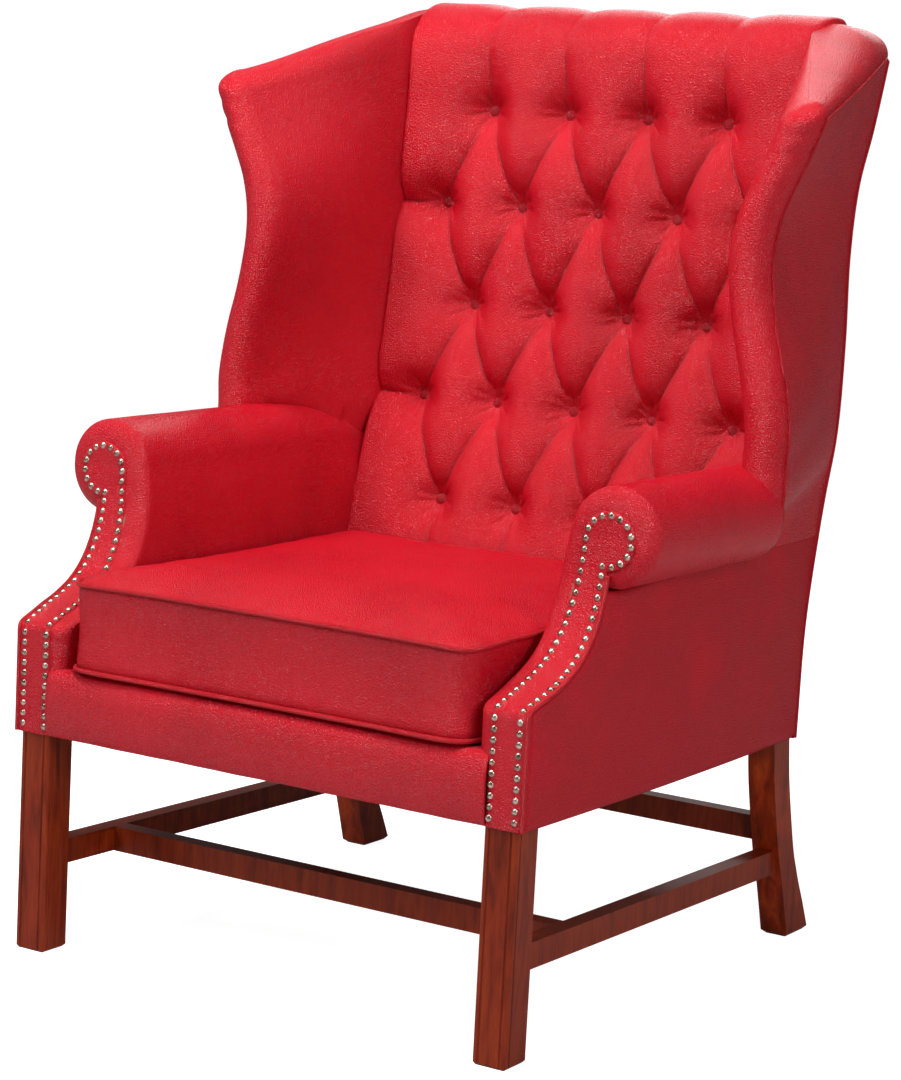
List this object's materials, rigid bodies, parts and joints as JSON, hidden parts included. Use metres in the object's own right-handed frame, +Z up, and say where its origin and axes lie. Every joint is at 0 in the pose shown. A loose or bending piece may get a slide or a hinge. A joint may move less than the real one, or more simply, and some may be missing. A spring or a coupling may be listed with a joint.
{
  "type": "hall porter chair",
  "caption": "High-winged armchair with a deep-buttoned leather back, scroll arms with dome nails, a loose seat cushion and a stretchered wooden base.",
  "frame": {"origin": "centre of the whole chair's box, on the floor", "axes": "+Z up, the chair faces -Y, +X is its right-hand side seen from the front"},
  "size_m": [0.84, 0.8011, 1.1235],
  "materials": {
    "mahogany": "polished reddish brown",
    "beech": "bare planed timber",
    "jute_webbing": "woven jute",
    "stuffing": "calico over stuffing",
    "black_cloth": "thin black cotton",
    "leather": "red grained leather",
    "leather_panel": "red grained leather",
    "leather_piping": "red leather welt",
    "nails": "antique dome nails"
  },
  "bodies": {
    "chair": {"front_leg_left": "mahogany", "front_leg_right": "mahogany", "back_leg_left": "mahogany", "back_leg_right": "mahogany", "side_stretcher_left": "mahogany", "side_stretcher_right": "mahogany", "side_rail_left": "beech", "side_rail_right": "beech", "arm_pad_left": "leather", "arm_pad_right": "leather", "arm_facing_left": "leather", "arm_facing_right": "leather", "facing_nails_left": "nails", "facing_nails_right": "nails", "arm_post_left": "beech", "arm_post_right": "beech", "arm_rail_left": "beech", "arm_rail_right": "beech", "outside_arm_left": "leather_panel", "outside_arm_right": "leather_panel", "back_post_left": "beech", "back_post_right": "beech", "wing_post_left": "beech", "wing_post_right": "beech", "wing_rail_left": "beech", "wing_rail_right": "beech", "wing_pad_left": "leather", "wing_pad_right": "leather", "outside_wing_left": "leather_panel", "outside_wing_right": "leather_panel", "cross_stretcher": "mahogany", "rear_stretcher": "mahogany", "front_rail": "beech", "rear_rail": "beech", "corner_blocks": "beech", "seat_webbing": "jute_webbing", "seat_deck": "stuffing", "dust_cover": "black_cloth", "front_border": "leather", "top_rail": "beech", "stuffing_rail": "beech", "back_webbing": "jute_webbing", "inside_back": "leather", "back_buttons": "leather", "outside_back": "leather_panel"},
    "cushion": {"cushion_cover": "leather", "cushion_core": "stuffing", "cushion_piping_top": "leather_piping", "cushion_piping_bottom": "leather_piping"}
  },
  "joints": [
    {"name": "cushion_lift", "type": "slide", "parent": "chair", "child": "cushion", "axis": [0, 0, 1], "range_m": [0, 0.8]}
  ]
}
